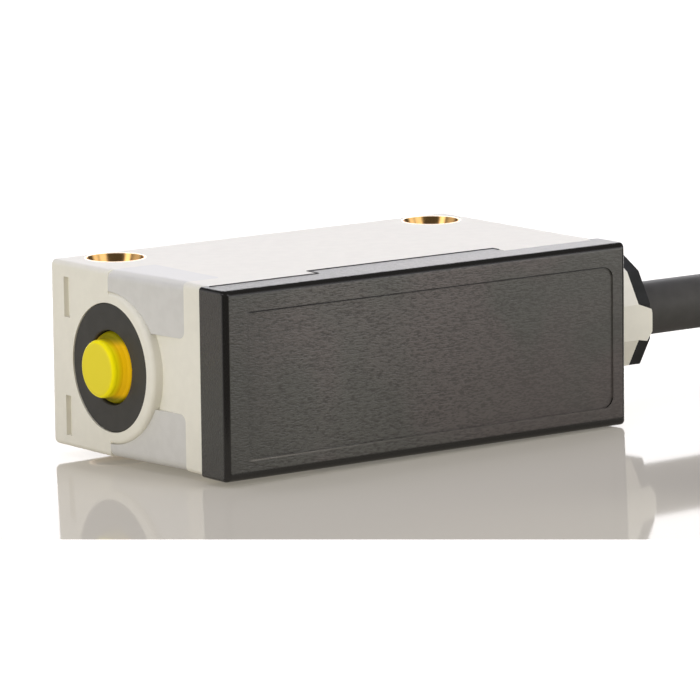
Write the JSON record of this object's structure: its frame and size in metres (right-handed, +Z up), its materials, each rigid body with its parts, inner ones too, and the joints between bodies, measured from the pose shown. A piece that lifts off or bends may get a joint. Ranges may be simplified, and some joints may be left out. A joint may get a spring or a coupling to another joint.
{
  "type": "photoelectric sensor",
  "caption": "Small rectangular photoelectric sensor with dark optical front, wrap-round indicator windows, teach button, through holes with sleeves, and a cable with a snap-in plug.",
  "frame": {"origin": "midway between the two mounting holes, on the lower broad side of the housing", "axes": "+X towards the cable end, -Y towards the optical front, +Z up through the thickness, along the mounting holes"},
  "size_m": [0.0861, 0.0521, 0.012],
  "materials": {
    "housing_white": "fine matt moulded plastic, warm off-white",
    "filter_dark": "dark brownish filter plastic with a fine spark-eroded grain",
    "seal_rubber": "matt rubber",
    "sleeve_brass": "turned, bright",
    "window_smoke": "smoky translucent plastic, satin",
    "bezel_grey": "matt dark grey",
    "boot_silicone": "translucent silicone",
    "switch_plastic": "matt",
    "board_green": "solder mask",
    "led_clear": "clear resin",
    "carrier_black": "light-absorbing black",
    "lens_clear": "polished",
    "chip_black": "moulded",
    "can_steel": "tinned",
    "capacitor_tan": "ceramic",
    "contact_gold": "gold plated",
    "grommet_rubber": "matt black rubber",
    "cable_jacket": "dark grey satin jacket",
    "core_insulation": "coloured insulation",
    "tie_black": "flat plastic band",
    "plug_rubber": "overmoulded, satin",
    "plug_plastic": "glass-filled plastic",
    "button_yellow": "yellow, satin-gloss"
  },
  "bodies": {
    "sensor": {"housing": "housing_white", "front_cover": "filter_dark", "cover_seal": "seal_rubber", "mounting_sleeves": "sleeve_brass", "indicator_window_lower": "window_smoke", "indicator_window_upper": "window_smoke", "button_bezel": "bezel_grey", "return_boot": "boot_silicone", "switch_body": "switch_plastic", "indicator_board": "board_green", "status_led_lower": "led_clear", "status_led_upper": "led_clear", "optics_carrier": "carrier_black", "emitter_lens": "lens_clear", "receiver_lens": "lens_clear", "main_board": "board_green", "emitter_led": "led_clear", "receiver_chip": "chip_black", "receiver_shield": "can_steel", "controller_chip": "chip_black", "board_capacitors": "capacitor_tan", "board_link": "contact_gold", "cable_grommet": "grommet_rubber", "cable_jacket_end": "cable_jacket", "cable_clamp": "can_steel", "core_wires": "core_insulation", "sensor_cable": "cable_jacket", "cable_coil": "cable_jacket", "cable_tail": "cable_jacket", "coil_tie": "tie_black", "plug_boot": "plug_rubber", "plug_body": "plug_rubber", "plug_nose": "plug_plastic", "plug_pins": "contact_gold"},
    "button": {"teach_button": "button_yellow", "button_seal": "seal_rubber", "switch_plunger": "switch_plastic"}
  },
  "joints": [
    {"name": "button_press", "type": "slide", "parent": "sensor", "child": "button", "axis": [1, 0, 0], "range_m": [0, 0.0005], "stiffness_N_per_m": 800, "springref_m": -0.00075, "deforming": ["return_boot"]}
  ]
}
